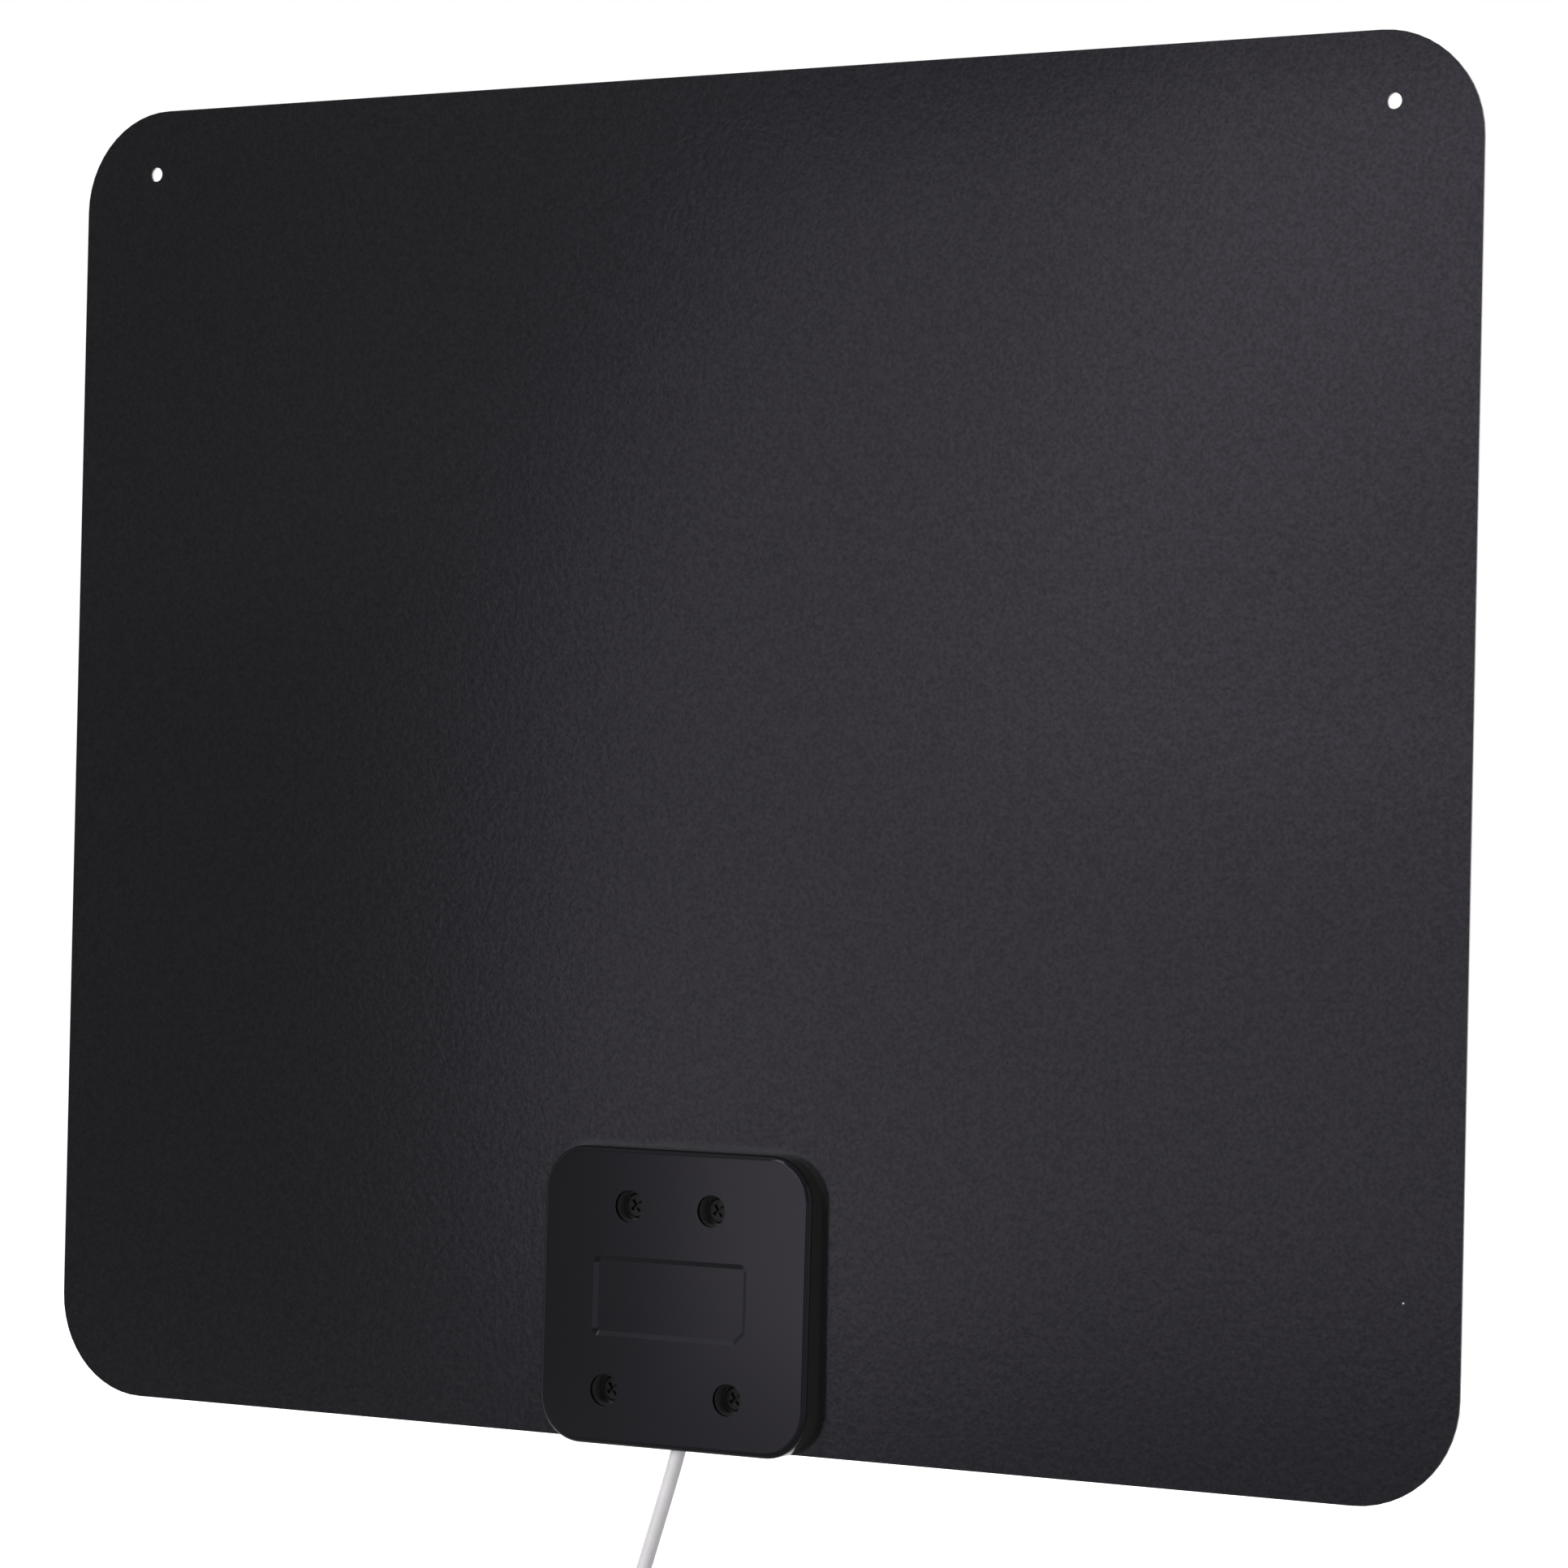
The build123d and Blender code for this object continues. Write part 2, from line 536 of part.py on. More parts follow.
# Tie round the bundle, on the side away from the lead
TIE_OPENING_WIDTH = COIL_BUNDLE + 2 * TIE_CLEARANCE
TIE_OPENING_DEPTH = COIL_DEPTH + 2 * TIE_CLEARANCE
with BuildPart() as coil_tie:
    with BuildSketch(Plane.XY.offset(COIL_Z - TIE_WIDTH / 2)):
        draw_rounded(
            TIE_OPENING_WIDTH + 2 * TIE_THICKNESS,
            TIE_OPENING_DEPTH + 2 * TIE_THICKNESS,
            CABLE_DIAMETER / 2 + TIE_THICKNESS,
            COIL_SECTION_CENTRE,
        )
        with Locations(COIL_SECTION_CENTRE):
            RectangleRounded(TIE_OPENING_WIDTH, TIE_OPENING_DEPTH, CABLE_DIAMETER / 2, mode=Mode.SUBTRACT)
    extrude(amount=TIE_WIDTH)
save(coil_tie, "coil_tie")

# Plug, pointing down from the end of the cable; profiles give radius and distance below the cable end
PLUG_X, PLUG_Y, PLUG_Z = TAIL_ROUTE[-1]
PLUG_AXIS = Axis((PLUG_X, PLUG_Y, PLUG_Z), (0, 0, 1))
PLUG_SECTION = Plane((PLUG_X, PLUG_Y, PLUG_Z), x_dir=(1, 0, 0), z_dir=(0, 1, 0))
GRIP_TOP = SLEEVE_LENGTH - SLEEVE_GRIP_LENGTH
BARREL_TOP = SLEEVE_LENGTH - BARREL_LENGTH
NUT_TOP = SLEEVE_LENGTH + NUT_CLEARANCE
FLANGE_TOP = NUT_TOP + NUT_LIP + NUT_CLEARANCE
FLANGE_FRONT = FLANGE_TOP + FLANGE_THICKNESS
NUT_FRONT = NUT_TOP + NUT_LENGTH

# Moulded sleeve round the end of the cable, with grip grooves
with BuildPart() as connector_sleeve:
    with BuildSketch(PLUG_SECTION):
        Polygon(
            (0, 0),
            (SLEEVE_TOP_DIAMETER / 2, 0),
            (SLEEVE_BOTTOM_DIAMETER / 2, GRIP_TOP),
            (SLEEVE_BOTTOM_DIAMETER / 2, SLEEVE_LENGTH),
            (BARREL_DIAMETER / 2, SLEEVE_LENGTH),
            (BARREL_DIAMETER / 2, BARREL_TOP),
            (0, BARREL_TOP),
            align=None,
        )
    revolve(axis=PLUG_AXIS)
    outer_rims = connector_sleeve.edges().filter_by(GeomType.CIRCLE)
    chamfer(outer_rims.group_by(Axis.Z)[0].sort_by(SortBy.RADIUS)[-1], SLEEVE_CHAMFER)
    for number in range(1, SLEEVE_GROOVES + 1):
        groove_middle = GRIP_TOP + number * SLEEVE_GRIP_LENGTH / (SLEEVE_GROOVES + 1)
        with BuildSketch(PLUG_SECTION):
            with Locations((SLEEVE_BOTTOM_DIAMETER / 2, groove_middle)):
                Rectangle(2 * SLEEVE_GROOVE_DEPTH, SLEEVE_GROOVE_WIDTH)
        revolve(axis=PLUG_AXIS, mode=Mode.SUBTRACT)
save(connector_sleeve, "connector_sleeve")

# Metal body: a barrel in the sleeve, a neck for the nut and the flange that keeps the nut on
with BuildPart() as connector_body:
    with BuildSketch(PLUG_SECTION):
        Polygon(
            (0, BARREL_TOP),
            (BARREL_DIAMETER / 2, BARREL_TOP),
            (BARREL_DIAMETER / 2, SLEEVE_LENGTH),
            (NECK_DIAMETER / 2, SLEEVE_LENGTH),
            (NECK_DIAMETER / 2, FLANGE_TOP),
            (FLANGE_DIAMETER / 2, FLANGE_TOP),
            (FLANGE_DIAMETER / 2, FLANGE_FRONT),
            (INSULATOR_DIAMETER / 2, FLANGE_FRONT),
            (INSULATOR_DIAMETER / 2, FLANGE_FRONT - INSULATOR_LENGTH),
            (0, FLANGE_FRONT - INSULATOR_LENGTH),
            align=None,
        )
    revolve(axis=PLUG_AXIS)
save(connector_body, "connector_body")

# Insulator in the mouth of the body
with BuildPart() as connector_insulator:
    with BuildSketch(PLUG_SECTION):
        Polygon(
            (0, FLANGE_FRONT - INSULATOR_LENGTH),
            (INSULATOR_DIAMETER / 2 - INSULATOR_CLEARANCE, FLANGE_FRONT - INSULATOR_LENGTH),
            (INSULATOR_DIAMETER / 2 - INSULATOR_CLEARANCE, FLANGE_FRONT),
            (PIN_DIAMETER / 2 + INSULATOR_CLEARANCE, FLANGE_FRONT),
            (PIN_DIAMETER / 2 + INSULATOR_CLEARANCE, FLANGE_FRONT - PIN_SEAT_DEPTH),
            (0, FLANGE_FRONT - PIN_SEAT_DEPTH),
            align=None,
        )
    revolve(axis=PLUG_AXIS)
save(connector_insulator, "connector_insulator")

# Pin, which reaches past the front of the nut
with BuildPart() as connector_pin:
    with BuildSketch(PLUG_SECTION):
        Polygon(
            (0, FLANGE_FRONT - PIN_SEAT_DEPTH),
            (PIN_DIAMETER / 2, FLANGE_FRONT - PIN_SEAT_DEPTH),
            (PIN_DIAMETER / 2, NUT_FRONT + PIN_PAST_NUT),
            (0, NUT_FRONT + PIN_PAST_NUT),
            align=None,
        )
    revolve(axis=PLUG_AXIS)
save(connector_pin, "connector_pin")

# Coupling nut: it turns freely on the neck, held by the flange inside it
with BuildPart() as coupling_nut:
    with BuildSketch(Plane.XY.offset(PLUG_Z - NUT_FRONT)):
        with Locations((PLUG_X, PLUG_Y)):
            RegularPolygon(NUT_ACROSS_FLATS / 2, 6, major_radius=False)
            Circle(NUT_BORE_DIAMETER / 2, mode=Mode.SUBTRACT)
    extrude(amount=NUT_LENGTH - NUT_LIP)
    with BuildSketch(Plane.XY.offset(PLUG_Z - NUT_TOP - NUT_LIP)):
        with Locations((PLUG_X, PLUG_Y)):
            RegularPolygon(NUT_ACROSS_FLATS / 2, 6, major_radius=False)
            Circle(NECK_DIAMETER / 2 + NUT_CLEARANCE, mode=Mode.SUBTRACT)
    extrude(amount=NUT_LIP)
    flat_edges = coupling_nut.edges().filter_by(GeomType.LINE).group_by(Axis.Z)
    chamfer(flat_edges[0] + flat_edges[-1], NUT_CHAMFER)
save(coupling_nut, "coupling_nut")
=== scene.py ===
from math import cos, pi, radians, sin, tan

import bmesh
import bpy
from mathutils import Matrix, Vector


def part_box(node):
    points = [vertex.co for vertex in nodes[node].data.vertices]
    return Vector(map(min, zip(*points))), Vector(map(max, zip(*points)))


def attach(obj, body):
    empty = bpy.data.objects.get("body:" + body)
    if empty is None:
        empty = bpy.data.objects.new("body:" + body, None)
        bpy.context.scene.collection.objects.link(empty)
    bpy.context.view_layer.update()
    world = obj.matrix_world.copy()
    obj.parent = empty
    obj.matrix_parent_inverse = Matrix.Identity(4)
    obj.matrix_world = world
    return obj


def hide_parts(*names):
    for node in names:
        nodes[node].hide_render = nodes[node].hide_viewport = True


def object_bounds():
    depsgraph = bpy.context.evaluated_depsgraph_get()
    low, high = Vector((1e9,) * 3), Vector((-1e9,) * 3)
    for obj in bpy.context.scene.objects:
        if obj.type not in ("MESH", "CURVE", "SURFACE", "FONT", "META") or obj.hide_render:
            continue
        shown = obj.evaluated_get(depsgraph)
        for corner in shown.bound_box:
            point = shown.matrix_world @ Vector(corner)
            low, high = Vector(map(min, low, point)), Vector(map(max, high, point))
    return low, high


# The looks of a flat indoor television antenna, in metres, in the frame of its solids: X runs across
# the sheet, -Y points out of the black side, Z points up, and the origin lies between the hanging holes.

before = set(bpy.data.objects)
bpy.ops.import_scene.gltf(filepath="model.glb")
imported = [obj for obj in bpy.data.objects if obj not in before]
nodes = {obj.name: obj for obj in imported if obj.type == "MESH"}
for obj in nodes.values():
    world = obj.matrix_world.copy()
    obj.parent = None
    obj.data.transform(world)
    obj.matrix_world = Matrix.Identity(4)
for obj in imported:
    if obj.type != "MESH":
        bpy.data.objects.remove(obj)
cad_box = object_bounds()
scene = bpy.context.scene

BLACK_FILM_LOW, BLACK_FILM_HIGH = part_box("black_film")
COVER_LOW, COVER_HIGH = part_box("screw_cover")
SHEET_BOTTOM = BLACK_FILM_LOW.z
BLACK_FACE_Y = BLACK_FILM_LOW.y
MM = 0.001

# Camera, at the photograph's viewing angle
IMAGE_PIXELS = 1932
FOCAL_PIXELS = 6200
SENSOR_MM = 36.0
CAMERA_PLACE = Vector((0.54098, -0.91388, -0.14907))
CAMERA_AZIMUTH = radians(29.883)
CAMERA_ELEVATION = radians(-0.718)
CAMERA_ROLL = radians(1.222)
CAMERA_NEAR = 0.05
CAMERA_FAR = 100.0

# Cable: its route is that of the solids, down from the box, through the coil and on to the plug
CABLE_DIAMETER = 3.2 * MM
CABLE_Y = BLACK_FACE_Y - 2.05 * MM
COIL_CENTRE = Vector((6.6 * MM, 0.0, SHEET_BOTTOM - 60.0 * MM))
COIL_FIRST_Y = -8.0 * MM
COIL_OUTER_RADIUS = 23.6 * MM
COIL_INNER_RADIUS = 14.0 * MM
COIL_SWELL = 0.9 * MM
COIL_TURNS_DEEP = 3
COIL_LAYERS = 4
COIL_POINTS_PER_TURN = 20
CABLE_SECTION_STEPS = 5
CABLE_STEPS_PER_POINT = 4

LEAD_ROUTE = [
    (-3.0 * MM, CABLE_Y, SHEET_BOTTOM + 12.0 * MM),
    (-3.0 * MM, CABLE_Y, SHEET_BOTTOM + 6.5 * MM),
    (-5.7 * MM, CABLE_Y, SHEET_BOTTOM - 4.0 * MM),
    (-10.5 * MM, CABLE_Y - 1.15 * MM, SHEET_BOTTOM - 21.0 * MM),
    (-14.7 * MM, CABLE_Y - 3.3 * MM, SHEET_BOTTOM - 38.0 * MM),
    (-16.9 * MM, CABLE_Y - 5.35 * MM, SHEET_BOTTOM - 53.0 * MM),
]
TAIL_ROUTE = [
    (-16.9 * MM, 1.6 * MM, SHEET_BOTTOM - 67.0 * MM),
    (-16.5 * MM, 1.6 * MM, SHEET_BOTTOM - 78.0 * MM),
    (-15.2 * MM, 1.4 * MM, SHEET_BOTTOM - 90.0 * MM),
    (-15.2 * MM, 1.4 * MM, SHEET_BOTTOM - 101.0 * MM),
]


def make_camera():
    """The camera, from where it stands and how it is turned."""
    look = Vector((
        -sin(CAMERA_AZIMUTH) * cos(CAMERA_ELEVATION),
        cos(CAMERA_AZIMUTH) * cos(CAMERA_ELEVATION),
        -sin(CAMERA_ELEVATION),
    ))
    level_right = Vector((cos(CAMERA_AZIMUTH), sin(CAMERA_AZIMUTH), 0.0))
    level_up = level_right.cross(look)
    right = level_right * cos(CAMERA_ROLL) + level_up * sin(CAMERA_ROLL)
    up = level_up * cos(CAMERA_ROLL) - level_right * sin(CAMERA_ROLL)
    turn = Matrix((right, up, -look)).transposed().to_4x4()
    data = bpy.data.cameras.new("photo_camera")
    data.sensor_width = SENSOR_MM
    data.lens = FOCAL_PIXELS / IMAGE_PIXELS * SENSOR_MM
    data.clip_start = CAMERA_NEAR
    data.clip_end = CAMERA_FAR
    camera = bpy.data.objects.new("photo_camera", data)
    camera.matrix_world = Matrix.Translation(CAMERA_PLACE) @ turn
    scene.collection.objects.link(camera)
    scene.camera = camera


def coil_points():
    """The turns of the put-away cable: each layer winds inwards or outwards, then crosses to the next."""
    points = []
    for layer in range(COIL_LAYERS):
        layer_y = COIL_FIRST_Y + layer * CABLE_DIAMETER
        inwards = layer % 2 == 0
        start = COIL_OUTER_RADIUS if inwards else COIL_INNER_RADIUS
        end = COIL_INNER_RADIUS if inwards else COIL_OUTER_RADIUS
        last = layer == COIL_LAYERS - 1
        turns = COIL_TURNS_DEEP if last else COIL_TURNS_DEEP + 1
        for step in range(turns * COIL_POINTS_PER_TURN):
            turn = step / COIL_POINTS_PER_TURN
            crossing = max(0.0, turn - COIL_TURNS_DEEP)
            radius = start + (end - start) * min(1.0, turn / COIL_TURNS_DEEP)
            radius += (-1 if inwards else 1) * COIL_SWELL * sin(pi * crossing)
            y = layer_y + crossing * CABLE_DIAMETER
            angle = pi + 2 * pi * turn
            points.append((COIL_CENTRE.x + radius * cos(angle), y, COIL_CENTRE.z + radius * sin(angle)))
    return points


def make_cable():
    """The whole cable as one smooth cord, in place of the solids of its lead, coil and tail."""
    data = bpy.data.curves.new("coax_cable", "CURVE")
    data.dimensions = "3D"
    data.bevel_depth = CABLE_DIAMETER / 2
    data.bevel_resolution = CABLE_SECTION_STEPS
    data.use_fill_caps = True
    data.materials.append(jacket)
    points = LEAD_ROUTE + coil_points() + TAIL_ROUTE
    spline = data.splines.new("NURBS")
    spline.points.add(len(points) - 1)
    for point, place in zip(spline.points, points):
        point.co = (*place, 1.0)
    spline.order_u = 3
    spline.use_endpoint_u = True
    spline.resolution_u = CABLE_STEPS_PER_POINT
    cable = bpy.data.objects.new("coax_cable", data)
    scene.collection.objects.link(cable)
    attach(cable, "antenna")
    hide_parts("coax_lead", "coax_coil", "coax_tail")


# Materials: every finish is made of nodes, with sizes in metres
NOISE_LOW = 0.3
NOISE_HIGH = 0.7
UNEVEN_GLOSS = 0.15
EVEN = (1.0, 1.0, 1.0)

# Numbers of the colour sockets of a mix node, which has others of the same names
MIX_FIRST_COLOUR = 6
MIX_SECOND_COLOUR = 7
MIX_RESULT_COLOUR = 2


def new_material(name):
    """A new material, with its node tree and its main shader."""
    material = bpy.data.materials.new(name)
    material.use_nodes = True
    return material, material.node_tree, material.node_tree.nodes["Principled BSDF"]


def surface_point(tree, stretch=EVEN):
    """The place on the surface, with each axis divided by its stretch."""
    point = tree.nodes.new("ShaderNodeTexCoord").outputs["Object"]
    mapping = tree.nodes.new("ShaderNodeMapping")
    mapping.inputs["Scale"].default_value = [1.0 / amount for amount in stretch]
    tree.links.new(point, mapping.inputs["Vector"])
    return mapping.outputs["Vector"]


def point_parts(tree):
    """The place on the surface as separate X, Y and Z sockets."""
    parts = tree.nodes.new("ShaderNodeSeparateXYZ")
    tree.links.new(surface_point(tree), parts.inputs["Vector"])
    return parts.outputs


def noise(tree, size, detail=2.0, stretch=EVEN):
    """Soft noise from 0 to 1 with features of about this size."""
    texture = tree.nodes.new("ShaderNodeTexNoise")
    texture.inputs["Scale"].default_value = 1.0 / size
    texture.inputs["Detail"].default_value = detail
    tree.links.new(surface_point(tree, stretch), texture.inputs["Vector"])
    return texture.outputs["Fac"]


def shades(tree, factor, dark, light):
    """A colour that goes from dark to light as a noise goes from low to high."""
    ramp = tree.nodes.new("ShaderNodeValToRGB")
    ramp.color_ramp.elements[0].position = NOISE_LOW
    ramp.color_ramp.elements[0].color = (*dark, 1.0)
    ramp.color_ramp.elements[1].position = NOISE_HIGH
    ramp.color_ramp.elements[1].color = (*light, 1.0)
    tree.links.new(factor, ramp.inputs["Fac"])
    return ramp.outputs["Color"]


def spread(tree, factor, low, high, start=0.0, end=1.0):
    """A number that goes from low to high as the factor goes from start to end."""
    mapped = tree.nodes.new("ShaderNodeMapRange")
    mapped.inputs["From Min"].default_value = start
    mapped.inputs["From Max"].default_value = end
    mapped.inputs["To Min"].default_value = low
    mapped.inputs["To Max"].default_value = high
    tree.links.new(factor, mapped.inputs["Value"])
    return mapped.outputs["Result"]


def calculate(tree, operation, first, second=0.0):
    """One operation on sockets or plain numbers."""
    node = tree.nodes.new("ShaderNodeMath")
    node.operation = operation
    for socket, value in zip(node.inputs, (first, second)):
        if isinstance(value, (int, float)):
            socket.default_value = value
        else:
            tree.links.new(value, socket)
    return node.outputs["Value"]


def bump(tree, height, depth, under=None):
    """A normal that follows a height from 0 to 1 times this depth, over another normal."""
    node = tree.nodes.new("ShaderNodeBump")
    node.inputs["Distance"].default_value = depth
    tree.links.new(height, node.inputs["Height"])
    if under is not None:
        tree.links.new(under, node.inputs["Normal"])
    return node.outputs["Normal"]


def scaled(colour, amount):
    """The colour, made darker or lighter."""
    return tuple(channel * amount for channel in colour)


def finish(name, colour, roughness, metallic=0.0, specular=0.5, variation=0.1, patch=6.0 * MM,
           grain=0.4 * MM, depth=0.01 * MM, stretch=EVEN):
    """A worked surface: shades in soft patches, uneven gloss and a fine grain."""
    material, tree, shader = new_material(name)
    patches = noise(tree, patch, 3.0, stretch)
    colours = shades(tree, patches, scaled(colour, 1.0 - variation), scaled(colour, 1.0 + variation))
    tree.links.new(colours, shader.inputs["Base Color"])
    smooth = (1.0 - UNEVEN_GLOSS) * roughness
    rough = (1.0 + UNEVEN_GLOSS) * roughness
    tree.links.new(spread(tree, patches, smooth, rough), shader.inputs["Roughness"])
    tree.links.new(bump(tree, noise(tree, grain, 2.0, stretch), depth), shader.inputs["Normal"])
    shader.inputs["Metallic"].default_value = metallic
    shader.inputs["Specular IOR Level"].default_value = specular
    return material


# Film: the reach of its painted light next to the pieces on it, its grain, and its bow as slopes, which is
# full below a share of the sheet's height
FILM_PAINTED_LIGHT_REACH = 2.2 * MM
FILM_PAINTED_LIGHT_SAMPLES = 2
FILM_GRAIN = 0.7 * MM
FILM_GRAIN_DEPTH = 0.012 * MM
FILM_MOTTLE = 1.5 * MM
FILM_MOTTLE_DEPTH = 0.020 * MM
FILM_GLOSS_SPREAD = 0.25
FILM_BOW_TOP = tan(radians(0.1))
FILM_BOW_FOOT = tan(radians(1.7))
FILM_BOW_FULL = 0.45


def film_painted_light_mask(tree):
    """Nought on the open film, rising towards one close to a piece that stands on it: where the film's
    painted light goes.
    """
    shelter = tree.nodes.new("ShaderNodeAmbientOcclusion")
    shelter.samples = FILM_PAINTED_LIGHT_SAMPLES
    shelter.inputs["Distance"].default_value = FILM_PAINTED_LIGHT_REACH
    return calculate(tree, "SUBTRACT", 1.0, shelter.outputs["AO"])


def mixed(tree, factor, first, second):
    """The colour between two sockets or plain colours."""
    mix = tree.nodes.new("ShaderNodeMix")
    mix.data_type = "RGBA"
    tree.links.new(factor, mix.inputs["Factor"])
    for number, colour in ((MIX_FIRST_COLOUR, first), (MIX_SECOND_COLOUR, second)):
        if isinstance(colour, tuple):
            mix.inputs[number].default_value = (*colour, 1.0)
        else:
            tree.links.new(colour, mix.inputs[number])
    return mix.outputs[MIX_RESULT_COLOUR]


def film_bow(tree):
    """The lean of a thin film that isn't quite flat: least at its top edge, and most in its lower half."""
    parts = point_parts(tree)
    lean = tree.nodes.new("ShaderNodeMapRange")
    lean.interpolation_type = "SMOOTHSTEP"
    lean.inputs["From Min"].default_value = BLACK_FILM_LOW.z * FILM_BOW_FULL
    lean.inputs["From Max"].default_value = BLACK_FILM_HIGH.z
    lean.inputs["To Min"].default_value = -FILM_BOW_FOOT
    lean.inputs["To Max"].default_value = -FILM_BOW_TOP
    tree.links.new(parts["Z"], lean.inputs["Value"])
    return bump(tree, calculate(tree, "MULTIPLY", parts["X"], lean.outputs["Result"]), 1.0)


def film_finish(name, colour, painted_light_colour, roughness, specular, tint, variation):
    """A thin plastic film with a fine matt grain, and painted light that makes it lighter where another piece
    meets it.
    """
    material, tree, shader = new_material(name)
    mottle = noise(tree, FILM_MOTTLE, 2.0)
    fine = noise(tree, FILM_GRAIN, 3.0)
    colours = shades(tree, fine, scaled(colour, 1.0 - variation), scaled(colour, 1.0 + variation))
    # Painted light: next to the pieces that stand on it, the film's black is mixed towards a far lighter one,
    # lifting the shade there.
    painted_light_base = mixed(tree, film_painted_light_mask(tree), colours, painted_light_colour)
    tree.links.new(painted_light_base, shader.inputs["Base Color"])
    gloss = spread(tree, fine, 1.0 - FILM_GLOSS_SPREAD, 1.0 + FILM_GLOSS_SPREAD, NOISE_LOW, NOISE_HIGH)
    tree.links.new(calculate(tree, "MULTIPLY", gloss, specular), shader.inputs["Specular IOR Level"])
    rough = bump(tree, mottle, FILM_MOTTLE_DEPTH, film_bow(tree))
    tree.links.new(bump(tree, fine, FILM_GRAIN_DEPTH, rough), shader.inputs["Normal"])
    shader.inputs["Roughness"].default_value = roughness
    shader.inputs["Specular Tint"].default_value = (*tint, 1.0)
    return material


# Cover: its texture, the depths between which its face turns into wall and its painted light begins, and the
# shares of its half size between which its recesses end and its outer walls begin
COVER_PATCH = 9.0 * MM
COVER_SHADE_SPREAD = 0.02
COVER_GLOSS_SPREAD = 0.05
COVER_TEXTURE = 0.3 * MM
COVER_TEXTURE_DEPTH = 0.002 * MM
COVER_FALL = 0.8 * MM
COVER_FACE_DEPTH = 0.8 * MM
COVER_WALL_DEPTH = 1.1 * MM
COVER_INNER = 0.80
COVER_OUTER = 0.85


def below_cover_face(tree):
    """Nought on the sloping face of the screw cover, rising to one on its walls and in its screw recesses,
    where its painted light goes.
    """
    parts = point_parts(tree)
    behind = calculate(tree, "SUBTRACT", parts["Y"], COVER_LOW.y)
    above = calculate(tree, "SUBTRACT", parts["Z"], COVER_LOW.z)
    slope = calculate(tree, "MULTIPLY", above, COVER_FALL / (COVER_HIGH.z - COVER_LOW.z))
    depth = calculate(tree, "SUBTRACT", behind, slope)
    return spread(tree, depth, 0.0, 1.0, COVER_FACE_DEPTH, COVER_WALL_DEPTH)


def inside_cover(tree):
    """Nought on the outer walls of the screw cover, and one where its screw recesses are, whose painted light
    is stronger.
    """
    parts = point_parts(tree)
    outward = []
    for axis, low, high in (("X", COVER_LOW.x, COVER_HIGH.x), ("Z", COVER_LOW.z, COVER_HIGH.z)):
        from_middle = calculate(tree, "SUBTRACT", parts[axis], (low + high) / 2)
        share = calculate(tree, "DIVIDE", from_middle, (high - low) / 2)
        outward.append(calculate(tree, "ABSOLUTE", share))
    return spread(tree, calculate(tree, "MAXIMUM", *outward), 1.0, 0.0, COVER_INNER, COVER_OUTER)


def cover_finish(name, colour, painted_wall_colour, painted_recess_colour, roughness, specular, tint):
    """Satin moulded plastic with the fine texture of an eroded mould, and painted light that makes its walls
    and screw recesses lighter than its face.
    """
    material, tree, shader = new_material(name)
    patches = noise(tree, COVER_PATCH)
    dark = scaled(colour, 1.0 - COVER_SHADE_SPREAD)
    light = scaled(colour, 1.0 + COVER_SHADE_SPREAD)
    face = shades(tree, patches, dark, light)
    # Painted light: the outer walls and, more so, the screw recesses get lighter blacks than the face,
    # standing in for the light they lack.
    wall = mixed(tree, inside_cover(tree), painted_wall_colour, painted_recess_colour)
    tree.links.new(mixed(tree, below_cover_face(tree), face, wall), shader.inputs["Base Color"])
    smooth = (1.0 - COVER_GLOSS_SPREAD) * roughness
    rough = (1.0 + COVER_GLOSS_SPREAD) * roughness
    tree.links.new(spread(tree, patches, smooth, rough), shader.inputs["Roughness"])
    texture = bump(tree, noise(tree, COVER_TEXTURE), COVER_TEXTURE_DEPTH)
    tree.links.new(texture, shader.inputs["Normal"])
    shader.inputs["Specular IOR Level"].default_value = specular
    shader.inputs["Specular Tint"].default_value = (*tint, 1.0)
    return material


# Colours and finishes: the lighter blacks are painted light, on the cover's walls and in its screw recesses,
# and on the film next to the pieces on it
BLACK = (0.0060, 0.0060, 0.0068)
COVER_BLACK = (0.0038, 0.0038, 0.0044)
PAINTED_LIGHT_WALL_BLACK = (0.025, 0.025, 0.0255)
PAINTED_LIGHT_RECESS_BLACK = (0.055, 0.055, 0.056)
FILM_PAINTED_LIGHT_BLACK = (0.041, 0.041, 0.042)
WHITE = (0.78, 0.78, 0.77)
PURPLISH = (0.885, 0.815, 1.0)
PLAIN = (1.0, 1.0, 1.0)

black_film = film_finish("black_film_grain", BLACK, FILM_PAINTED_LIGHT_BLACK, 0.155, 0.073, PURPLISH, 0.10)
white_film = film_finish("white_film_grain", WHITE, WHITE, 0.45, 0.5, PLAIN, 0.01)
black_cover = cover_finish("black_cover_satin", COVER_BLACK, PAINTED_LIGHT_WALL_BLACK, PAINTED_LIGHT_RECESS_BLACK, 0.115, 0.085,
                           PURPLISH)
white_cover = cover_finish("white_cover_satin", WHITE, WHITE, WHITE, 0.4, 0.5, PLAIN)
black_steel = finish("black_steel", (0.014, 0.014, 0.014), 0.3, specular=0.04, grain=0.15 * MM)
foil = finish("rolled_foil", (0.78, 0.78, 0.80), 0.3, metallic=1.0, stretch=(12.0, 1.0, 1.0))
board = finish("green_board", (0.03, 0.16, 0.06), 0.4, grain=0.6 * MM, depth=0.008 * MM)
ferrite = finish("ferrite", (0.045, 0.045, 0.05), 0.6, grain=0.2 * MM, depth=0.02 * MM)
enamel = finish("enamelled_copper", (0.55, 0.20, 0.08), 0.25, metallic=1.0)
fired_chip = finish("fired_chip", (0.45, 0.36, 0.27), 0.45, grain=0.1 * MM)
bare_brass = finish("bare_brass", (0.72, 0.58, 0.30), 0.3, metallic=1.0)
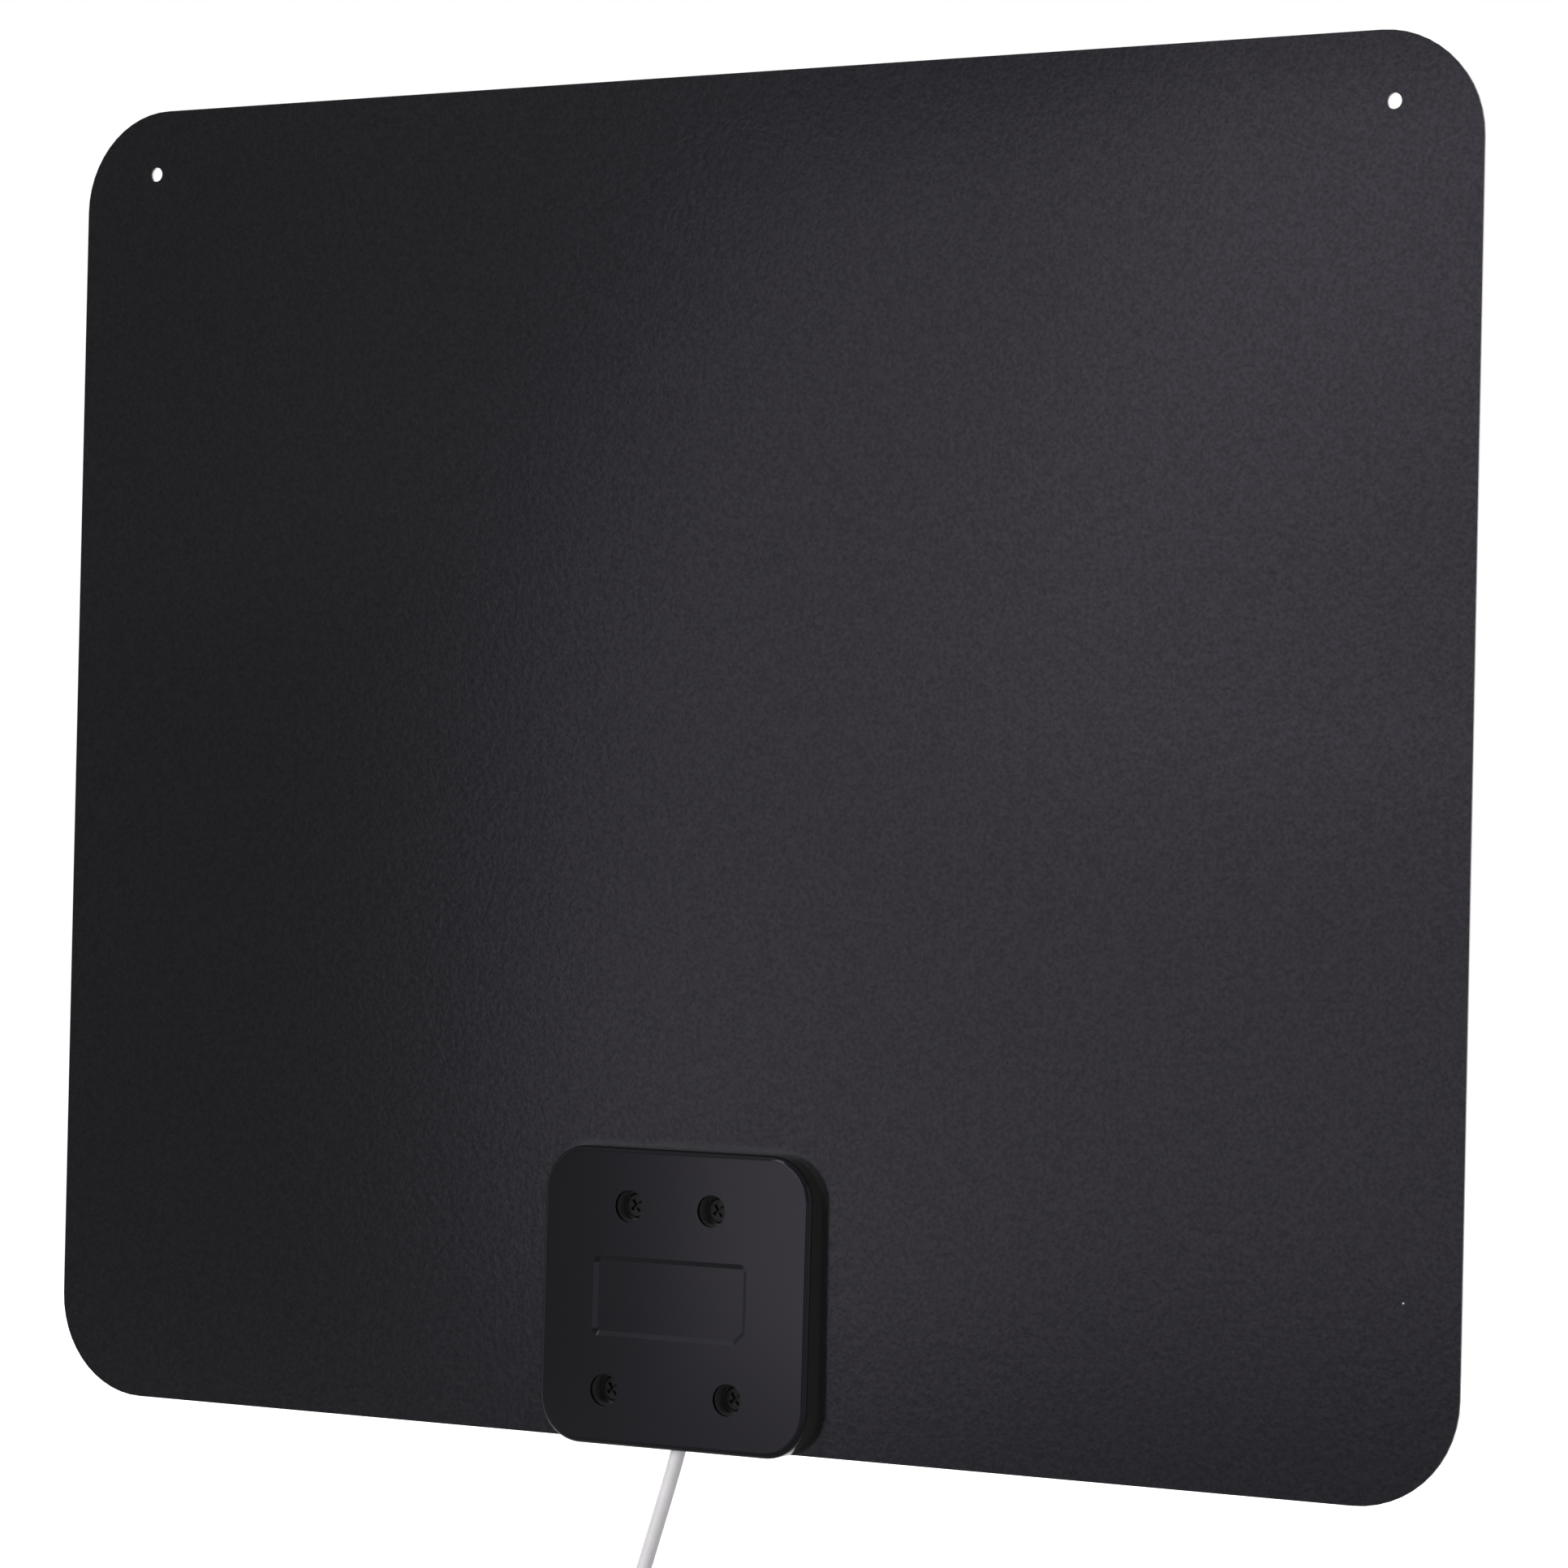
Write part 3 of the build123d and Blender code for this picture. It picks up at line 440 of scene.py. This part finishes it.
crimp = finish("crimped_ring", (0.70, 0.70, 0.71), 0.35, metallic=1.0)
polythene = finish("polythene", (0.82, 0.82, 0.80), 0.4)
bare_copper = finish("bare_copper", (0.80, 0.42, 0.26), 0.25, metallic=1.0)
braid = finish("tinned_braid", (0.66, 0.66, 0.67), 0.4, metallic=1.0, grain=0.15 * MM,
               depth=0.04 * MM)
jacket = finish("cable_jacket", (0.58, 0.565, 0.58), 0.38, variation=0.03, grain=0.5 * MM,
                depth=0.006 * MM)
nickel = finish("nickel_plate", (0.50, 0.48, 0.44), 0.22, metallic=1.0, variation=0.04, grain=0.12 * MM,
                depth=0.003 * MM, stretch=(1.0, 1.0, 0.2))
coated_tie = finish("coated_tie", (0.02, 0.02, 0.021), 0.4, grain=0.3 * MM, depth=0.01 * MM)
dust = finish("pale_dust", (0.55, 0.54, 0.55), 0.8, grain=0.05 * MM, depth=0.02 * MM)

NODE_FINISH = {
    "black_film": black_film,
    "white_film": white_film,
    "left_element": foil,
    "right_element": foil,
    "screw_cover": black_cover,
    "plain_cover": white_cover,
    "cover_screws": black_steel,
    "circuit_board": board,
    "balun_core": ferrite,
    "primary_winding": enamel,
    "secondary_winding": enamel,
    "chip_capacitors": fired_chip,
    "contact_rivets": bare_brass,
    "cable_stop": crimp,
    "cable_core": polythene,
    "centre_conductor": bare_copper,
    "shield_pigtail": braid,
    "connector_sleeve": jacket,
    "connector_body": nickel,
    "connector_insulator": polythene,
    "connector_pin": bare_copper,
}


def dress_nodes():
    """Give each solid that is shown as it is its own finish."""
    for name, material in NODE_FINISH.items():
        for material_slot in nodes[name].material_slots:
            material_slot.material = material


# Pieces with more detail than their solids
SHARP_ANGLE = radians(35.0)


def skin(name, rings, material, path_closed):
    """A mesh over rings of points, closed on itself or with a cap at each end."""
    mesh = bmesh.new()
    made = [[mesh.verts.new(point) for point in ring] for ring in rings]
    count = len(rings[0])
    steps = len(rings) if path_closed else len(rings) - 1
    for step in range(steps):
        here = made[step]
        there = made[(step + 1) % len(made)]
        for index in range(count):
            after = (index + 1) % count
            mesh.faces.new((here[index], here[after], there[after], there[index]))
    if not path_closed:
        mesh.faces.new(list(reversed(made[0])))
        mesh.faces.new(made[-1])
    bmesh.ops.recalc_face_normals(mesh, faces=mesh.faces)
    for face in mesh.faces:
        face.smooth = True
    data = bpy.data.meshes.new(name)
    mesh.to_mesh(data)
    mesh.free()
    data.set_sharp_from_angle(angle=SHARP_ANGLE)
    data.materials.append(material)
    piece = bpy.data.objects.new(name, data)
    scene.collection.objects.link(piece)
    return piece


THREAD_PITCH = 25.4 * MM / 32
THREAD_DEPTH = 0.36 * MM
THREAD_STEPS = 8
NUT_BORE_RADIUS = 4.4 * MM
NUT_LIP = 1.6 * MM
NUT_LIP_RADIUS = 3.25 * MM
NUT_FACE_RADIUS = 5.25 * MM
NUT_CONE_SLOPE = tan(radians(60.0))
NUT_CONE_STEP = 0.08 * MM
NUT_CONE_STEPS = 10
NUT_MOUTH = 0.45 * MM
NUT_AROUND = 96


def nut_radius(angle, inset, across):
    """The hexagon's radius, cut back by the cone at each end of the nut."""
    from_flat = (angle + pi / 6) % (pi / 3) - pi / 6
    hexagon = across / 2 / cos(pi / 6 - abs(from_flat))
    return min(hexagon, NUT_FACE_RADIUS + inset * NUT_CONE_SLOPE)


def make_nut():
    """The coupling nut, with the thread that the solid leaves out."""
    low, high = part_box("coupling_nut")
    middle = (low + high) / 2
    across = high.y - low.y
    length = high.z - low.z
    angles = [2 * pi * index / NUT_AROUND for index in range(NUT_AROUND)]
    insets = [step * NUT_CONE_STEP for step in range(NUT_CONE_STEPS)]
    depths = insets + [length - inset for inset in reversed(insets)]
    rings = []

    def add_ring(z, radius_at):
        radii = [radius_at(angle) for angle in angles]
        ring = [(middle.x + r * cos(a), middle.y + r * sin(a), z) for r, a in zip(radii, angles)]
        rings.append(ring)

    for depth in depths:
        add_ring(high.z - depth, lambda a, d=depth: nut_radius(a, min(d, length - d), across))
    add_ring(low.z, lambda a: NUT_BORE_RADIUS + NUT_MOUTH)
    bore_length = length - NUT_LIP - NUT_MOUTH
    bore_steps = int(bore_length / THREAD_PITCH * THREAD_STEPS)
    for step in range(bore_steps + 1):
        up = bore_length * step / bore_steps
        fade = min(1.0, up / THREAD_PITCH, (bore_length - up) / THREAD_PITCH)

        def thread_radius(a, up=up, fade=fade):
            wave = abs(2 * ((up / THREAD_PITCH + a / (2 * pi)) % 1.0) - 1)
            return NUT_BORE_RADIUS + THREAD_DEPTH * fade * wave

        add_ring(low.z + NUT_MOUTH + up, thread_radius)
    add_ring(high.z - NUT_LIP, lambda a: NUT_LIP_RADIUS)
    add_ring(high.z, lambda a: NUT_LIP_RADIUS)
    nut = skin("threaded_nut", rings, nickel, path_closed=True)
    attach(nut, "nut")
    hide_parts("coupling_nut")
    return nut


TIE_RIDGE = [(-1.0, 0.16), (-0.3, 0.2), (-0.16, 0.42), (0.16, 0.42), (0.3, 0.2), (1.0, 0.16)]
TIE_HALF_WIDTH = 2.0 * MM
TIE_HALF_THICKNESS = 0.45 * MM
TIE_CORNER = 2.0 * MM
TIE_CORNER_STEPS = 8
TIE_TAIL = 10.0 * MM
TIE_TAIL_TURNS = 1.5
TIE_TAIL_STEPS = 60
TIE_TAIL_FLARE = 1.5 * MM


def tie_section(place, outward, along):
    """The flat section of the tie, with a ridge over its wire on both faces."""
    upper = []
    lower = []
    for across, rise in TIE_RIDGE:
        middle = place + along * (across * TIE_HALF_WIDTH)
        upper.append(middle + outward * (rise * MM))
        lower.append(middle - outward * (rise * MM))
    return upper + lower[::-1]


def make_tie():
    """A coated wire tie round the coil, with its two ends twisted together."""
    low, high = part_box("coil_tie")
    middle = (low + high) / 2
    half_x = (high.x - low.x) / 2 - TIE_HALF_THICKNESS
    half_y = (high.y - low.y) / 2 - TIE_HALF_THICKNESS
    upward = Vector((0.0, 0.0, 1.0))
    rings = []
    for corner, (side_x, side_y) in enumerate(((1, 1), (-1, 1), (-1, -1), (1, -1))):
        centre = middle + Vector((side_x * (half_x - TIE_CORNER), side_y * (half_y - TIE_CORNER), 0.0))
        for step in range(TIE_CORNER_STEPS + 1):
            angle = pi / 2 * (corner + step / TIE_CORNER_STEPS)
            outward = Vector((cos(angle), sin(angle), 0.0))
            rings.append(tie_section(centre + outward * TIE_CORNER, outward, upward))
    loop = skin("tie_loop", rings, coated_tie, path_closed=True)
    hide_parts("coil_tie")
    pieces = [loop]
    for number, side in enumerate((-1, 1)):
        tail = []
        for step in range(TIE_TAIL_STEPS + 1):
            share = step / TIE_TAIL_STEPS
            angle = 2 * pi * TIE_TAIL_TURNS * share
            outward = Vector((0.0, cos(angle), sin(angle))) * side
            along = Vector((0.0, -sin(angle), cos(angle)))
            on_axis = Vector((middle.x + half_x + TIE_TAIL * share, middle.y, middle.z))
            place = on_axis + outward * (TIE_HALF_THICKNESS + TIE_TAIL_FLARE * share**4)
            tail.append(tie_section(place, outward, along))
        pieces.append(skin(f"tie_tail_{number + 1}", tail, coated_tie, path_closed=False))
    for piece in pieces:
        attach(piece, "antenna")
    return pieces


SPECK_X = 157.9 * MM
SPECK_ABOVE_BOTTOM = 40.3 * MM
SPECK_SIZE = 0.18 * MM
SPECK_LIFT = 0.05 * MM
SPECK_FLATNESS = 0.4


def make_speck():
    """A fleck of dust on the black film: a small ball with lumps, pressed flat."""
    mesh = bmesh.new()
    bmesh.ops.create_icosphere(mesh, subdivisions=2, radius=SPECK_SIZE)
    for vertex in mesh.verts:
        x, y, z = vertex.co / SPECK_SIZE
        vertex.co *= 1.0 + 0.25 * sin(5 * x + 2) * cos(4 * z) + 0.15 * sin(7 * y + 3 * x)
        vertex.co.y *= SPECK_FLATNESS
        vertex.co += Vector((SPECK_X, BLACK_FACE_Y - SPECK_LIFT, SHEET_BOTTOM + SPECK_ABOVE_BOTTOM))
    data = bpy.data.meshes.new("dust_speck")
    mesh.to_mesh(data)
    mesh.free()
    data.materials.append(dust)
    speck = bpy.data.objects.new("dust_speck", data)
    scene.collection.objects.link(speck)
    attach(speck, "antenna")


# Floor, background and light
FLOOR_COLOUR = (0.8, 0.8, 0.8)
FLOOR_DROP = 0.05
FLOOR_HALF = 8.0
FLOOR_GLOW_NEAR = 0.31
FLOOR_GLOW_FAR = 0.80
FLOOR_NEAR = 0.45
FLOOR_FAR = 0.85
AMBIENT = 0.30
BACKWARD = (0.0, 1.0, 0.0)
FORWARD = (0.0, -1.0, 0.0)
LEFTWARD = (-1.0, 0.0, 0.0)

# Lamps: name, centre, the way it faces, width, height and radiance
LAMPS = [
    ("main_soft_box", (-0.60, -1.60, -0.07), BACKWARD, 0.70, 0.66, 4.4),
    ("upper_soft_box", (-0.43, -1.59, 0.25), BACKWARD, 0.46, 0.70, 2.7),
    ("lower_soft_box", (-0.755, -1.58, -0.49), BACKWARD, 0.21, 0.26, 2.2),
    ("corner_soft_box", (-0.62, -1.57, -0.52), BACKWARD, 0.66, 0.26, 1.8),
    ("face_soft_box", (-0.865, -1.56, -0.27), BACKWARD, 0.17, 0.18, 0.8),
    ("spill_soft_box", (-1.10, -1.60, 0.265), BACKWARD, 0.30, 0.37, 0.6),
    ("overhead_soft_box", (-0.71, -1.60, 1.05), BACKWARD, 0.46, 1.20, 12.0),
    ("high_soft_box", (-0.71, -1.60, 2.35), BACKWARD, 0.46, 1.40, 6.0),
    ("far_soft_box", (-1.34, -1.60, 2.20), BACKWARD, 0.70, 1.20, 3.7),
    ("right_soft_box", (0.84, -1.60, -0.30), BACKWARD, 0.40, 0.30, 2.2),
    ("side_soft_box", (1.90, -0.80, 0.00), LEFTWARD, 1.60, 2.00, 1.2),
    ("back_soft_box", (-0.60, 1.90, 0.40), FORWARD, 1.60, 1.60, 3.2),
]


def seen_directly(tree):
    """One where a ray comes from the camera, a reflection or a see-through surface, and nought elsewhere."""
    path = tree.nodes.new("ShaderNodeLightPath")
    mirrored = calculate(tree, "MAXIMUM", path.outputs["Is Glossy Ray"], path.outputs["Is Transmission Ray"])
    return calculate(tree, "MAXIMUM", path.outputs["Is Camera Ray"], mirrored)


def make_floor():
    """A pale floor that reads as white, glows more with distance, and keeps the shadow near the part."""
    material = bpy.data.materials.new("pale_floor")
    material.use_nodes = True
    tree = material.node_tree
    tree.nodes.clear()
    matt = tree.nodes.new("ShaderNodeBsdfDiffuse")
    matt.inputs["Color"].default_value = (*FLOOR_COLOUR, 1.0)
    distance = tree.nodes.new("ShaderNodeVectorMath")
    distance.operation = "LENGTH"
    tree.links.new(surface_point(tree), distance.inputs[0])
    strength = spread(
        tree, distance.outputs["Value"], FLOOR_GLOW_NEAR, FLOOR_GLOW_FAR, FLOOR_NEAR, FLOOR_FAR)
    glow = tree.nodes.new("ShaderNodeEmission")
    tree.links.new(calculate(tree, "MULTIPLY", seen_directly(tree), strength), glow.inputs["Strength"])
    both = tree.nodes.new("ShaderNodeAddShader")
    tree.links.new(matt.outputs["BSDF"], both.inputs[0])
    tree.links.new(glow.outputs["Emission"], both.inputs[1])
    output = tree.nodes.new("ShaderNodeOutputMaterial")
    tree.links.new(both.outputs["Shader"], output.inputs["Surface"])
    data = bpy.data.meshes.new("floor")
    height = cad_box[0].z - FLOOR_DROP
    corners = [(-1, -1), (1, -1), (1, 1), (-1, 1)]
    data.from_pydata([(x * FLOOR_HALF, y * FLOOR_HALF, height) for x, y in corners], [], [(0, 1, 2, 3)])
    data.materials.append(material)
    floor = bpy.data.objects.new("floor", data)
    scene.collection.objects.link(floor)


def make_world():
    """White where it is seen, and a plain even light elsewhere."""
    world = bpy.data.worlds.new("studio")
    scene.world = world
    world.use_nodes = True
    tree = world.node_tree
    background = tree.nodes["Background"]
    background.inputs["Color"].default_value = (1.0, 1.0, 1.0, 1.0)
    strength = calculate(tree, "MULTIPLY", seen_directly(tree), 1.0 - AMBIENT)
    tree.links.new(calculate(tree, "ADD", strength, AMBIENT), background.inputs["Strength"])


def add_lamp(name, centre, facing, width, height, radiance):
    """A soft box that shines from its centre in one direction."""
    data = bpy.data.lights.new(name, "AREA")
    data.shape = "RECTANGLE"
    data.size = width
    data.size_y = height
    data.energy = radiance * pi * width * height
    lamp = bpy.data.objects.new(name, data)
    lamp.location = centre
    lamp.rotation_euler = Vector(facing).to_track_quat("-Z", "Y").to_euler()
    lamp.visible_camera = False
    scene.collection.objects.link(lamp)


make_camera()
dress_nodes()
nut = make_nut()
tie = make_tie()
make_speck()
make_cable()
make_floor()
make_world()
for lamp in LAMPS:
    add_lamp(*lamp)
scene.view_settings.view_transform = "Standard"

bpy.context.view_layer.update()
